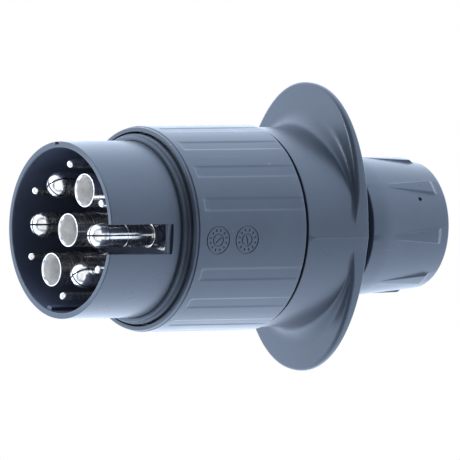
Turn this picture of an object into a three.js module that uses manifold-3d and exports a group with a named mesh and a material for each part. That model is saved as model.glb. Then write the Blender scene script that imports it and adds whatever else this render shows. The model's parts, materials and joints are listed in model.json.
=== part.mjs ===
// Thirteen-pole trailer plug: nose with its contacts, union sleeve, housing with an oval flange, cable gland.
// Millimetres. The origin is the centre of the nose rim and +X runs along the plug to the cable entry.
// The keyway faces -Y and the flange is longest along Z. Angles go round +X from the keyway towards +Z.

import * as THREE from 'three';
import { ConvexGeometry } from 'three/addons/geometries/ConvexGeometry.js';
import { mergeVertices } from 'three/addons/utils/BufferGeometryUtils.js';
import Module from 'manifold-3d';

const wasm = await Module();
wasm.setup();

// Shared
const GAP = 0.3;
const ROUND = 36;
const PIN_ROUND = 12;
const SMALL_ROUND = 8;
const OVAL_STEPS = 72;
const CUT = 2;

// Nose shroud
const NOSE_R = 20;
const NOSE_BORE_R = 18.6;
const RIM_CHAMFER = 0.4;
const KEYWAY_WIDTH = 6.8;
const KEYWAY_END_X = 15.9;
const KEYWAY_STEP_X = 17.1;
const KEYWAY_STEP_R = 19.3;
const GUIDE_GROOVE_ANGLE = 99;
const GUIDE_GROOVE_WIDTH = 1.4;
const GUIDE_GROOVE_DEPTH = 0.7;
const GUIDE_RIB_ANGLE = 260;
const GUIDE_RIB_R = 0.8;
const LIP_FRONT_X = 20.4;
const LIP_BACK_X = 21.2;
const LIP_R = 17.2;
const SHROUD_FLANGE_X = [27.3, 30.5];
const SHROUD_FLANGE_R = 21.2;
const SHROUD_TAIL_R = 19.4;
const SHROUD_TAIL_BORE_R = 18;
const SHROUD_END_X = 46;

// Seal ring round the nose
const SEAL_FRONT_X = 19.8;
const SEAL_BEAD_R = 20.9;
const SEAL_COLLAR_X = 20.9;
const SEAL_COLLAR_R = 21.5;
const SEAL_END_X = 24.1;

// Union sleeve
const SLEEVE_FRONT_X = 21.1;
const SLEEVE_END_X = 51.75;
const SLEEVE_R = 23.25;
const SLEEVE_LIP_R = 22.3;
const SLEEVE_BORE_R = 21.6;
const SLEEVE_CHAMFER = 0.3;
const SHOULDER_X = [24.4, 27];
const RIB_PITCH = 20;
const RIB_GROOVE_WIDTH = 2.8;
const RIB_GROOVE_R = 22.9;
const RIB_GROOVE_START_X = 24;

// Rear housing
const HOUSING_R = 22.65;
const HOUSING_FRONT_X = 52.75;
const SPIGOT_FRONT_X = 32.3;
const SPIGOT_R = 21.3;
const SPIGOT_BORE_R = 19.9;
const CHAMBER_R = 20.5;
const CHAMBER_END_X = 65;
const FLANGE_ROOT_X = [65.8, 69.7];
const FLANGE_TIP_X = [67.1, 68.3];
const FLANGE_HALF_Z = 32.85;
const FLANGE_HALF_Y = 22.75;
const FLANGE_POWER = 2.15;
const BARREL_END_X = 66.9;
const BLEND_LENGTH = 0.6;
const BLEND_LENGTH_SHARE = 0.36;
const BLEND_HEIGHT_SHARE = 0.41;
const BLEND_STEPS = 4;
const NECK_R = 13;
const NECK_END_X = 90;
const NECK_SEAT_R = 10.5;
const NECK_SEAT_X = 75;
const NECK_BORE_R = 8;

// Cable gland
const GROMMET_X = [76, 91.5];
const GROMMET_R = 10.2;
const GROMMET_BORE_R = 5.5;
const WASHER_X = [91.8, 93];
const WASHER_R = 12.8;
const WASHER_BORE_R = 7;
const NUT_X = [75.8, 98.5];
const NUT_COLLAR_END_X = 80;
const NUT_R = 16;
const NUT_END_R = 14.4;
const NUT_BORE_R = 13.3;
const NUT_WALL_X = 93.3;
const NUT_HOLE_R = 7.4;
const NUT_CHAMFER = 0.5;
const RIDGE_COUNT = 8;
const RIDGE_ANGLE = -3.5;
const RIDGE_X = [81, 95, 96.3];
const RIDGE_R = [15.85, 15.35, 14.4];
const RIDGE_ROOT_R = 14;
const RIDGE_WIDTH = [0.8, 3.6];

// Contacts and their carrier
const CARRIER_X = [21.5, 37];
const CARRIER_R = 17.7;
const LOCK_RING_X = [37.3, 39.3];
const LOCK_RING_BORE_R = 16.7;
const CONTACT_CIRCLE_R = 11.1;
const SMALL_CIRCLE_R = 15;
const COLLAR_X = [20.2, 21.2];
const BARREL_X = [37.3, 46];
const SHANK_R = 2.4;
const BARREL_R = 3;
const WIRE_BORE_R = 1.6;
const WIRE_BORE_DEPTH = 6;
const SPLIT_PIN_TIP_X = 0.1;
const SPLIT_PIN_HEAD_R = 2.95;
const SPLIT_PIN_R = 2.5;
const SPLIT_PIN_BASE_X = 15.7;
const SPLIT_PIN_BASE_R = 3;
const SPLIT_WIDTH = 0.5;
const TUBE_MOUTH_X = 2.1;
const TUBE_R = 3.8;
const TUBE_BORE_R = 3.3;
const TUBE_BORE_END_X = 19;
const SMALL_PIN_TIP_X = 1.1;
const SMALL_PIN_R = 1;
const SMALL_CUP_R = 1.4;
const SMALL_CUP_END_X = 43;
const SCREW_X = 42.5;
const SCREW_R = 1.2;
const SCREW_HEAD_R = 1.9;
const SCREW_HEAD_HEIGHT = 1.3;
const SCREW_SLOT = 0.5;

// Where each large contact stands: circle radius, angle, and the turn of a split pin's slots.
const SPLIT_PINS = [
  { radius: CONTACT_CIRCLE_R, angle: 0, slots: 6 },
  { radius: CONTACT_CIRCLE_R, angle: 120, slots: 36 },
  { radius: CONTACT_CIRCLE_R, angle: 180, slots: 6 },
  { radius: CONTACT_CIRCLE_R, angle: 300, slots: 36 },
];
const SOCKET_TUBES = [
  { radius: 0, angle: 30 },
  { radius: CONTACT_CIRCLE_R, angle: 60 },
  { radius: CONTACT_CIRCLE_R, angle: 240 },
];
const SMALL_PIN_ANGLES = [30, 90, 150, 210, 270, 330];

const PLASTIC = { color: '#22262f', roughness: 0.5, metalness: 0 };
const DARK_PLASTIC = { color: '#14171d', roughness: 0.55, metalness: 0 };
const RUBBER = { color: '#15171b', roughness: 0.8, metalness: 0 };
const NICKEL = { color: '#d9dade', roughness: 0.2, metalness: 1 };
const STEEL = { color: '#a9abae', roughness: 0.35, metalness: 1 };

const radians = (degrees) => THREE.MathUtils.degToRad(degrees);

// A closed geometry as a solid that can be joined and cut.
function solid(geometry) {
  geometry.deleteAttribute('normal');
  geometry.deleteAttribute('uv');
  const merged = mergeVertices(geometry);
  const corners = merged.index.array;
  const faces = [];
  for (let i = 0; i < corners.length; i += 3) {
    const [a, b, c] = corners.slice(i, i + 3);
    if (a !== b && b !== c && c !== a) {
      faces.push(a, b, c);
    }
  }
  const vertProperties = merged.attributes.position.array;
  return new wasm.Manifold(new wasm.Mesh({ numProp: 3, vertProperties, triVerts: new Uint32Array(faces) }));
}

// [x, radius] points turned about the X axis. The profile touches the axis at both ends or closes on itself.
function turned(profile, segments = ROUND) {
  const points = profile.map(([x, radius]) => new THREE.Vector2(radius, x));
  if (THREE.ShapeUtils.area(points) < 0) {
    points.reverse();
  }
  if (points[0].x > 0) {
    points.push(points[0].clone());
  }
  const geometry = new THREE.LatheGeometry(points, segments);
  geometry.rotateZ(-Math.PI / 2);
  return solid(geometry);
}

// A box from two opposite corners, turned about X to an angle from the keyway.
function block([x0, y0, z0], [x1, y1, z1], angle = 0) {
  const geometry = new THREE.BoxGeometry(x1 - x0, y1 - y0, z1 - z0);
  geometry.translate((x0 + x1) / 2, (y0 + y1) / 2, (z0 + z1) / 2);
  geometry.rotateX(-radians(angle));
  return solid(geometry);
}

// A round bar along X between two stations.
function bar(x0, x1, radius, segments = PIN_ROUND) {
  return turned([[x0, 0], [x0, radius], [x1, radius], [x1, 0]], segments);
}

// The place of a contact on its circle.
function onCircle(radius, angle) {
  return new THREE.Vector3(0, -radius * Math.cos(radians(angle)), radius * Math.sin(radians(angle)));
}

const plug = new THREE.Group();

// Adds a solid to the plug as a named mesh.
function add(name, shape, finish, place = new THREE.Vector3()) {
  const mesh = shape.getMesh();
  const geometry = new THREE.BufferGeometry();
  geometry.setAttribute('position', new THREE.BufferAttribute(new Float32Array(mesh.vertProperties), 3));
  geometry.setIndex(new THREE.BufferAttribute(new Uint32Array(mesh.triVerts), 1));
  geometry.computeVertexNormals();
  const piece = new THREE.Mesh(geometry, new THREE.MeshStandardMaterial(finish));
  piece.name = name;
  piece.position.copy(place);
  plug.add(piece);
}

function frontShroud() {
  const tube = turned([
    [0, NOSE_BORE_R],
    [0, NOSE_R - RIM_CHAMFER],
    [RIM_CHAMFER, NOSE_R],
    [SHROUD_FLANGE_X[0], NOSE_R],
    [SHROUD_FLANGE_X[0], SHROUD_FLANGE_R],
    [SHROUD_FLANGE_X[1], SHROUD_FLANGE_R],
    [SHROUD_FLANGE_X[1], SHROUD_TAIL_R],
    [SHROUD_END_X, SHROUD_TAIL_R],
    [SHROUD_END_X, SHROUD_TAIL_BORE_R],
    [LIP_BACK_X, SHROUD_TAIL_BORE_R],
    [LIP_BACK_X, LIP_R],
    [LIP_FRONT_X, LIP_R],
    [LIP_FRONT_X, NOSE_BORE_R],
  ]);
  const half = KEYWAY_WIDTH / 2;
  const keyway = block([-CUT, -NOSE_R - CUT, -half], [KEYWAY_END_X, -NOSE_BORE_R + CUT, half]);
  const step = block([-CUT, -NOSE_R - CUT, -half], [KEYWAY_STEP_X, -KEYWAY_STEP_R, half]);
  const side = GUIDE_GROOVE_WIDTH / 2;
  const groove = block(
    [-CUT, -NOSE_R - CUT, -side],
    [SEAL_FRONT_X, -NOSE_R + GUIDE_GROOVE_DEPTH, side],
    GUIDE_GROOVE_ANGLE,
  );
  const ribFoot = NOSE_BORE_R + GUIDE_RIB_R / 2;
  const rib = block(
    [RIM_CHAMFER, -ribFoot, -GUIDE_RIB_R],
    [LIP_FRONT_X + RIM_CHAMFER, -NOSE_BORE_R + GUIDE_RIB_R, GUIDE_RIB_R],
    GUIDE_RIB_ANGLE,
  );
  return tube.add(rib).subtract(keyway).subtract(step).subtract(groove);
}

function noseSealRing() {
  const bore = NOSE_R + GAP;
  return turned([
    [SEAL_FRONT_X, bore],
    [SEAL_FRONT_X + 0.2, bore + 0.4],
    [SEAL_FRONT_X + 0.7, SEAL_BEAD_R],
    [SEAL_COLLAR_X, SEAL_BEAD_R],
    [SEAL_COLLAR_X, SEAL_COLLAR_R],
    [SEAL_END_X, SEAL_COLLAR_R],
    [SEAL_END_X, bore],
  ]);
}

function unionSleeve() {
  let sleeve = turned([
    [SLEEVE_FRONT_X, SLEEVE_LIP_R],
    [SLEEVE_FRONT_X, SLEEVE_R - SLEEVE_CHAMFER],
    [SLEEVE_FRONT_X + SLEEVE_CHAMFER, SLEEVE_R],
    [SLEEVE_END_X, SLEEVE_R],
    [SLEEVE_END_X, SLEEVE_BORE_R],
    [SHOULDER_X[1], SLEEVE_BORE_R],
    [SHOULDER_X[1], NOSE_R + GAP],
    [SHOULDER_X[0], NOSE_R + GAP],
    [SHOULDER_X[0], SLEEVE_LIP_R],
  ]);
  const half = RIB_GROOVE_WIDTH / 2;
  for (let angle = RIB_PITCH; angle < 360; angle += RIB_PITCH) {
    if (angle !== 180) {
      const low = [RIB_GROOVE_START_X, -SLEEVE_R - CUT, -half];
      const high = [SLEEVE_END_X + CUT, -RIB_GROOVE_R, half];
      sleeve = sleeve.subtract(block(low, high, angle));
    }
  }
  return sleeve;
}

function housingORing() {
  const section = 0.6;
  const centreX = SHROUD_FLANGE_X[1] + GAP + section;
  const centreR = SHROUD_TAIL_R + 0.95;
  const profile = [];
  for (let i = 0; i < SMALL_ROUND; i += 1) {
    const turn = (2 * Math.PI * i) / SMALL_ROUND;
    profile.push([centreX + section * Math.cos(turn), centreR + section * Math.sin(turn)]);
  }
  return turned(profile);
}

// The radius of the flange's outline at a turn from the keyway: an oval, a little squarer than an ellipse.
function ovalRadius(turn) {
  const across = Math.abs(Math.cos(turn) / FLANGE_HALF_Y) ** FLANGE_POWER;
  const along = Math.abs(Math.sin(turn) / FLANGE_HALF_Z) ** FLANGE_POWER;
  return (across + along) ** (-1 / FLANGE_POWER);
}

// A bar along X with the flange's outline.
function ovalBar(x0, x1) {
  const outline = new THREE.Shape();
  for (let i = 0; i < OVAL_STEPS; i += 1) {
    const turn = (2 * Math.PI * i) / OVAL_STEPS;
    const r = ovalRadius(turn);
    const corner = [r * Math.sin(turn), r * Math.cos(turn)];
    if (i === 0) {
      outline.moveTo(...corner);
    } else {
      outline.lineTo(...corner);
    }
  }
  outline.closePath();
  const geometry = new THREE.ExtrudeGeometry(outline, { depth: x1 - x0, bevelEnabled: false });
  geometry.rotateY(Math.PI / 2);
  geometry.translate(x0, 0, 0);
  return solid(geometry);
}

// The finger flange: an oval plate that gets thinner from its middle to the tips of its two ears.
function flangePlate() {
  const corners = [-1, 1].flatMap((side) => {
    const y = side * (FLANGE_HALF_Y + CUT);
    const root = FLANGE_ROOT_X.map((x) => new THREE.Vector3(x, y, 0));
    const tips = FLANGE_TIP_X.flatMap((x) => [
      new THREE.Vector3(x, y, FLANGE_HALF_Z),
      new THREE.Vector3(x, y, -FLANGE_HALF_Z),
    ]);
    return [...root, ...tips];
  });
  const taper = solid(new ConvexGeometry(corners));
  const neckHole = bar(FLANGE_ROOT_X[0] - CUT, FLANGE_ROOT_X[1] + CUT, NECK_R - CUT, ROUND);
  return ovalBar(FLANGE_ROOT_X[0] - CUT, FLANGE_ROOT_X[1] + CUT).intersect(taper).subtract(neckHole);
}

// The concave blend that carries the barrel out into the ears. It grows with the height of the ear.
function blendSection(turn) {
  const rise = ovalRadius(turn) - HOUSING_R;
  const length = BLEND_LENGTH + BLEND_LENGTH_SHARE * rise;
  const height = BLEND_HEIGHT_SHARE * rise;
  const topR = HOUSING_R + height;
  const lean = (FLANGE_TIP_X[0] - FLANGE_ROOT_X[0]) / FLANGE_HALF_Z;
  const faceX = FLANGE_ROOT_X[0] + lean * topR * Math.abs(Math.sin(turn));
  const section = [[faceX - length, CHAMBER_R + 1]];
  for (let i = 0; i <= BLEND_STEPS; i += 1) {
    const sweep = (Math.PI / 2) * (i / BLEND_STEPS);
    section.push([faceX - length * (1 - Math.sin(sweep)), topR - height * Math.cos(sweep)]);
  }
  section.push([faceX + GAP, topR]);
  section.push([faceX + GAP, CHAMBER_R + 1]);
  return section.map(([x, r]) => [x, -r * Math.cos(turn), r * Math.sin(turn)]);
}

function flangeBlend() {
  const sections = [];
  for (let i = 0; i < ROUND; i += 1) {
    sections.push(blendSection((2 * Math.PI * i) / ROUND));
  }
  const count = sections[0].length;
  const faces = [];
  for (let i = 0; i < ROUND; i += 1) {
    for (let k = 0; k < count; k += 1) {
      const here = i * count + k;
      const next = i * count + ((k + 1) % count);
      const ahead = (here + count) % (ROUND * count);
      const aheadNext = (next + count) % (ROUND * count);
      faces.push(here, next, ahead, next, aheadNext, ahead);
    }
  }
  const geometry = new THREE.BufferGeometry();
  geometry.setAttribute('position', new THREE.Float32BufferAttribute(sections.flat(2), 3));
  geometry.setIndex(faces);
  return solid(geometry);
}

function rearHousing() {
  const chamfer = 0.4;
  const core = turned([
    [SPIGOT_FRONT_X, SPIGOT_BORE_R],
    [SPIGOT_FRONT_X, SPIGOT_R - chamfer],
    [SPIGOT_FRONT_X + chamfer, SPIGOT_R],
    [HOUSING_FRONT_X, SPIGOT_R],
    [HOUSING_FRONT_X, HOUSING_R],
    [BARREL_END_X, HOUSING_R],
    [FLANGE_TIP_X[1], HOUSING_R - chamfer],
    [FLANGE_TIP_X[1], NECK_R],
    [NECK_END_X - chamfer, NECK_R],
    [NECK_END_X, NECK_R - chamfer],
    [NECK_END_X, NECK_SEAT_R],
    [NECK_SEAT_X, NECK_SEAT_R],
    [NECK_SEAT_X, NECK_BORE_R],
    [CHAMBER_END_X, NECK_BORE_R],
    [CHAMBER_END_X, CHAMBER_R],
    [HOUSING_FRONT_X + 0.6, CHAMBER_R],
    [HOUSING_FRONT_X, SPIGOT_BORE_R],
  ]);
  return core.add(flangePlate()).add(flangeBlend());
}

function cableGrommet() {
  const chamfer = 0.6;
  return turned([
    [GROMMET_X[0], GROMMET_BORE_R],
    [GROMMET_X[0], GROMMET_R - chamfer],
    [GROMMET_X[0] + chamfer, GROMMET_R],
    [GROMMET_X[1], GROMMET_R],
    [GROMMET_X[1], GROMMET_BORE_R],
  ]);
}

function slipWasher() {
  return turned([
    [WASHER_X[0], WASHER_BORE_R],
    [WASHER_X[0], WASHER_R],
    [WASHER_X[1], WASHER_R],
    [WASHER_X[1], WASHER_BORE_R],
  ]);
}

// A tall wedge at the given angle that gets wider towards the cable end.
function ridgeWedge(angle) {
  const corners = [RIDGE_X[0], RIDGE_X[2]].flatMap((x, end) => {
    const half = RIDGE_WIDTH[end] / 2;
    return [RIDGE_ROOT_R - 1, NUT_R].flatMap((r) => [
      new THREE.Vector3(x, -r, -half),
      new THREE.Vector3(x, -r, half),
    ]);
  });
  const geometry = new ConvexGeometry(corners);
  geometry.rotateX(-radians(angle));
  return solid(geometry);
}

// The nut is a cone behind a plain collar. Its grip ridges keep nearly the collar's radius, so they stand
// higher and higher above the cone, and each one ends in a bevel.
function glandNut() {
  const band = turned([
    [RIDGE_X[0], RIDGE_ROOT_R],
    [RIDGE_X[0], RIDGE_R[0]],
    [RIDGE_X[1], RIDGE_R[1]],
    [RIDGE_X[2], RIDGE_R[2]],
    [RIDGE_X[2], RIDGE_ROOT_R],
  ]);
  let nut = turned([
    [NUT_X[0], NUT_BORE_R],
    [NUT_X[0], NUT_R - GAP],
    [NUT_X[0] + GAP, NUT_R],
    [NUT_COLLAR_END_X, NUT_R],
    [NUT_X[1] - NUT_CHAMFER, NUT_END_R],
    [NUT_X[1], NUT_END_R - NUT_CHAMFER],
    [NUT_X[1], NUT_HOLE_R],
    [NUT_WALL_X, NUT_HOLE_R],
    [NUT_WALL_X, NUT_BORE_R],
  ]);
  for (let i = 0; i < RIDGE_COUNT; i += 1) {
    nut = nut.add(band.intersect(ridgeWedge(RIDGE_ANGLE + (360 * i) / RIDGE_COUNT)));
  }
  return nut;
}

function contactCarrier() {
  let carrier = bar(CARRIER_X[0], CARRIER_X[1], CARRIER_R, ROUND);
  const bore = (radius, segments, place) => {
    const drill = bar(CARRIER_X[0] - CUT, CARRIER_X[1] + CUT, radius, segments);
    carrier = carrier.subtract(drill.translate([place.x, place.y, place.z]));
  };
  for (const { radius, angle } of [...SPLIT_PINS, ...SOCKET_TUBES]) {
    bore(SHANK_R + GAP, PIN_ROUND, onCircle(radius, angle));
  }
  for (const angle of SMALL_PIN_ANGLES) {
    bore(SMALL_PIN_R + GAP, SMALL_ROUND, onCircle(SMALL_CIRCLE_R, angle));
  }
  return carrier;
}

function carrierLockRing() {
  return turned([
    [LOCK_RING_X[0], LOCK_RING_BORE_R],
    [LOCK_RING_X[0], CARRIER_R],
    [LOCK_RING_X[1], CARRIER_R],
    [LOCK_RING_X[1], LOCK_RING_BORE_R],
  ]);
}

// The collar, shank and wire barrel behind a large contact, as the rest of its turned outline.
const LARGE_SHANK = [
  [COLLAR_X[1], TUBE_R],
  [COLLAR_X[1], SHANK_R],
  [BARREL_X[0], SHANK_R],
  [BARREL_X[0], BARREL_R],
  [BARREL_X[1], BARREL_R],
  [BARREL_X[1], WIRE_BORE_R],
  [BARREL_X[1] - WIRE_BORE_DEPTH, WIRE_BORE_R],
  [BARREL_X[1] - WIRE_BORE_DEPTH, 0],
];

// The screw hole from the wire bore out through the side of the barrel.
function screwHole(angle) {
  const hole = new THREE.CylinderGeometry(SCREW_R + GAP, SCREW_R + GAP, BARREL_R + CUT, SMALL_ROUND);
  hole.translate(SCREW_X, -(BARREL_R + CUT) / 2, 0);
  hole.rotateX(-radians(angle));
  return solid(hole);
}

function splitPin({ angle, slots }) {
  const pin = turned([
    [SPLIT_PIN_TIP_X, 0],
    [SPLIT_PIN_TIP_X + 0.15, 1],
    [SPLIT_PIN_TIP_X + 0.75, 2],
    [SPLIT_PIN_TIP_X + 1.7, 2.7],
    [SPLIT_PIN_TIP_X + 2.7, SPLIT_PIN_HEAD_R],
    [SPLIT_PIN_TIP_X + 3.3, SPLIT_PIN_HEAD_R],
    [SPLIT_PIN_TIP_X + 3.9, SPLIT_PIN_R],
    [SPLIT_PIN_BASE_X, SPLIT_PIN_R],
    [SPLIT_PIN_BASE_X, SPLIT_PIN_BASE_R],
    [COLLAR_X[0], SPLIT_PIN_BASE_R],
    [COLLAR_X[0], TUBE_R],
    ...LARGE_SHANK,
  ], PIN_ROUND);
  const half = SPLIT_WIDTH / 2;
  const slot = (turn) => block(
    [SPLIT_PIN_TIP_X - CUT, -SPLIT_PIN_HEAD_R - CUT, -half],
    [SPLIT_PIN_BASE_X, SPLIT_PIN_HEAD_R + CUT, half],
    turn,
  );
  return pin.subtract(slot(slots)).subtract(slot(slots + 90)).subtract(screwHole(angle));
}

function socketTube({ angle }) {
  const tube = turned([
    [TUBE_BORE_END_X, 0],
    [TUBE_BORE_END_X, TUBE_BORE_R],
    [TUBE_MOUTH_X + GAP, TUBE_BORE_R],
    [TUBE_MOUTH_X, TUBE_BORE_R + GAP],
    [TUBE_MOUTH_X, TUBE_R],
    ...LARGE_SHANK,
  ], PIN_ROUND);
  return tube.subtract(screwHole(angle));
}

function smallPin() {
  const collarR = SMALL_PIN_R + 0.5;
  return turned([
    [SMALL_PIN_TIP_X, 0],
    [SMALL_PIN_TIP_X + 0.3, 0.7 * SMALL_PIN_R],
    [SMALL_PIN_TIP_X + SMALL_PIN_R, SMALL_PIN_R],
    [COLLAR_X[0], SMALL_PIN_R],
    [COLLAR_X[0], collarR],
    [COLLAR_X[1], collarR],
    [COLLAR_X[1], SMALL_PIN_R],
    [BARREL_X[0], SMALL_PIN_R],
    [BARREL_X[0], SMALL_CUP_R],
    [SMALL_CUP_END_X, SMALL_CUP_R],
    [SMALL_CUP_END_X, SMALL_PIN_R],
    [SMALL_CUP_END_X - WIRE_BORE_DEPTH / 2, SMALL_PIN_R],
    [SMALL_CUP_END_X - WIRE_BORE_DEPTH / 2, 0],
  ], SMALL_ROUND);
}

// A slotted terminal screw, its head away from the contact's own axis.
function terminalScrew(angle) {
  const seat = BARREL_R + GAP;
  const outline = [
    new THREE.Vector2(0, GAP),
    new THREE.Vector2(SCREW_R, GAP),
    new THREE.Vector2(SCREW_R, seat),
    new THREE.Vector2(SCREW_HEAD_R, seat),
    new THREE.Vector2(SCREW_HEAD_R, seat + SCREW_HEAD_HEIGHT),
    new THREE.Vector2(0, seat + SCREW_HEAD_HEIGHT),
  ];
  const screw = new THREE.LatheGeometry(outline, SMALL_ROUND);
  screw.rotateX(Math.PI);
  screw.translate(SCREW_X, 0, 0);
  screw.rotateX(-radians(angle));
  const half = SCREW_SLOT / 2;
  const top = seat + SCREW_HEAD_HEIGHT;
  const slot = block([SCREW_X - CUT, -top - CUT, -half], [SCREW_X + CUT, -top + SCREW_SLOT, half], angle);
  return solid(screw).subtract(slot);
}

add('front_shroud', frontShroud(), PLASTIC);
add('nose_seal_ring', noseSealRing(), RUBBER);
add('union_sleeve', unionSleeve(), PLASTIC);
add('housing_o_ring', housingORing(), RUBBER);
add('rear_housing', rearHousing(), PLASTIC);
add('cable_grommet', cableGrommet(), RUBBER);
add('slip_washer', slipWasher(), DARK_PLASTIC);
add('gland_nut', glandNut(), PLASTIC);
add('contact_carrier', contactCarrier(), DARK_PLASTIC);
add('carrier_lock_ring', carrierLockRing(), STEEL);
SPLIT_PINS.forEach((pin, i) => {
  add(`split_pin_${i + 1}`, splitPin(pin), NICKEL, onCircle(pin.radius, pin.angle));
});
SOCKET_TUBES.forEach((tube, i) => {
  add(`socket_tube_${i + 1}`, socketTube(tube), NICKEL, onCircle(tube.radius, tube.angle));
});
SMALL_PIN_ANGLES.forEach((angle, i) => {
  add(`small_pin_${i + 1}`, smallPin(), NICKEL, onCircle(SMALL_CIRCLE_R, angle));
});
[...SPLIT_PINS, ...SOCKET_TUBES].forEach((contact, i) => {
  add(`terminal_screw_${i + 1}`, terminalScrew(contact.angle), STEEL, onCircle(contact.radius, contact.angle));
});

export default plug;
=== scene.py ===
import json
import math

import bmesh
import bpy
from mathutils import Matrix, Vector


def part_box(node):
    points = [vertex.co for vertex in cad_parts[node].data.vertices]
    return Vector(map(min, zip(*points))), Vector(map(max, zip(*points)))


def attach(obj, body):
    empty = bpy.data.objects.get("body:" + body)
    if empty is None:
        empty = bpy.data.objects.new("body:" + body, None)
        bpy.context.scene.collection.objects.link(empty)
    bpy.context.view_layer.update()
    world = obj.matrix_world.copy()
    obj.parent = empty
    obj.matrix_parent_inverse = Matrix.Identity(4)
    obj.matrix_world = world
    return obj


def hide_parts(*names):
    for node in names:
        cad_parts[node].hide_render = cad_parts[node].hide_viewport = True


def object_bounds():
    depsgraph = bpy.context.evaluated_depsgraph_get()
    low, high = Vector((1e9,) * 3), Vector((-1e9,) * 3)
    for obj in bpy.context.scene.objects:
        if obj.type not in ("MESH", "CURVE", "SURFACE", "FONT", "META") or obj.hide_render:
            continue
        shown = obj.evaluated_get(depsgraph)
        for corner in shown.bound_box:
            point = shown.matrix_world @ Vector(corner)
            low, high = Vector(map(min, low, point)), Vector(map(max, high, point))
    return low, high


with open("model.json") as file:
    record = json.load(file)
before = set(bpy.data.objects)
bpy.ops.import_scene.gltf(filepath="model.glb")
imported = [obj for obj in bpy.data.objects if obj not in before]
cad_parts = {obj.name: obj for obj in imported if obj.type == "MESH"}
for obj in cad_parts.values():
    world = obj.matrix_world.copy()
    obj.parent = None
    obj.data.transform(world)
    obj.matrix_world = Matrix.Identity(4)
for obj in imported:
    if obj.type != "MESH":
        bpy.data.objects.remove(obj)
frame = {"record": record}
CAD_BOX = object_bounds()

# Lengths in this script are millimetres until they become mesh coordinates. Angles are degrees round +X from
# the keyway (-Y) towards +Z. A span is (start, end) along X.
MM = 0.001

# How many flat steps a round outline has
NOSE_STEPS = 192
BODY_STEPS = 144
PIN_STEPS = 48
SCREW_STEPS = 32
HOLE_STEPS = 24

# How far a cutter reaches past the surface that it opens
OVERCUT = 2

BODY_OF = {node: body for body, nodes in frame["record"]["behaviour"]["bodies"].items() for node in nodes}


def span(node):
    """Where a CAD node starts and ends along X, in millimetres."""
    low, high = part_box(node)
    return low.x / MM, high.x / MM


def radius(node):
    """Half the width of a CAD node across Y, in millimetres."""
    low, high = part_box(node)
    return (high.y - low.y) / 2 / MM


def middle(node):
    """The axis of a CAD node in the Y-Z plane, in millimetres."""
    low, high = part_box(node)
    return (low.y + high.y) / 2 / MM, (low.z + high.z) / 2 / MM


def around(x, r, angle, centre=(0, 0)):
    """The point at x, at r from an axis along X, at an angle from the keyway."""
    turn = math.radians(angle)
    return Vector((x, centre[0] - r * math.cos(turn), centre[1] + r * math.sin(turn)))


# ---------------------------------------------------------------------------------------------- mesh tools


def rounded(corners, closed=True, steps=4):
    """An outline of (x, r, fillet) corners as (x, r) points, each corner rounded by its fillet."""
    points = []
    count = len(corners)
    for i, (x, r, fillet) in enumerate(corners):
        if fillet == 0 or (not closed and i in (0, count - 1)):
            points.append((x, r))
            continue
        here = Vector((x, r))
        back = Vector(corners[i - 1][:2]) - here
        ahead = Vector(corners[(i + 1) % count][:2]) - here
        half = back.angle(ahead) / 2
        reach = min(fillet / math.tan(half), 0.48 * back.length, 0.48 * ahead.length)
        start = here + back.normalized() * reach
        end = here + ahead.normalized() * reach
        weight = math.sin(half)
        for k in range(steps + 1):
            s = k / steps
            parts = ((1 - s) ** 2, 2 * s * (1 - s) * weight, s ** 2)
            point = (start * parts[0] + here * parts[1] + end * parts[2]) / sum(parts)
            points.append((point.x, point.y))
    return points


def mesh_object(name, mesh):
    """An object in the scene that shows a mesh."""
    obj = bpy.data.objects.new(name, mesh)
    bpy.context.scene.collection.objects.link(obj)
    return obj


def skin(name, rows, closed=True):
    """A closed surface through rows of points. Each row goes round once, or is one point at an end."""
    bm = bmesh.new()
    rings = [[bm.verts.new(point * MM) for point in row] for row in rows]
    pairs = list(zip(rings, rings[1:]))
    if closed:
        pairs.append((rings[-1], rings[0]))
    for low, high in pairs:
        count = max(len(low), len(high))
        for i in range(count):
            j = (i + 1) % count
            corners = [low[i % len(low)], high[i % len(high)], high[j % len(high)], low[j % len(low)]]
            corners = list(dict.fromkeys(corners))
            if len(corners) > 2:
                bm.faces.new(corners)
    bmesh.ops.recalc_face_normals(bm, faces=bm.faces)
    mesh = bpy.data.meshes.new(name)
    bm.to_mesh(mesh)
    bm.free()
    return mesh_object(name, mesh)


def turned(name, profile, closed=True, steps=BODY_STEPS, centre=(0, 0)):
    """A profile of (x, r) points turned about an axis along X."""
    angles = [360 * i / steps for i in range(steps)]
    rows = []
    for x, r in profile:
        if r < 1e-6:
            rows.append([around(x, 0, 0, centre)])
        else:
            rows.append([around(x, r, angle, centre) for angle in angles])
    return skin(name, rows, closed)


def block(name, low, high, angle=0, centre=(0, 0)):
    """A box between two corners, turned about an axis along X."""
    bm = bmesh.new()
    bmesh.ops.create_cube(bm, size=1)
    low = Vector(low)
    high = Vector(high)
    for vert in bm.verts:
        vert.co = Vector((vert.co[k] * (high - low)[k] for k in range(3))) + (low + high) / 2
    bmesh.ops.rotate(bm, verts=bm.verts, matrix=Matrix.Rotation(-math.radians(angle), 3, "X"))
    bmesh.ops.translate(bm, verts=bm.verts, vec=Vector((0, centre[0], centre[1])))
    bmesh.ops.scale(bm, verts=bm.verts, vec=Vector((MM, MM, MM)))
    mesh = bpy.data.meshes.new(name)
    bm.to_mesh(mesh)
    bm.free()
    return mesh_object(name, mesh)


def settle(obj):
    """Turns an object's modifiers into its mesh."""
    graph = bpy.context.evaluated_depsgraph_get()
    graph.update()
    mesh = bpy.data.meshes.new_from_object(obj.evaluated_get(graph), depsgraph=graph)
    obj.modifiers.clear()
    obj.data = mesh


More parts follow.
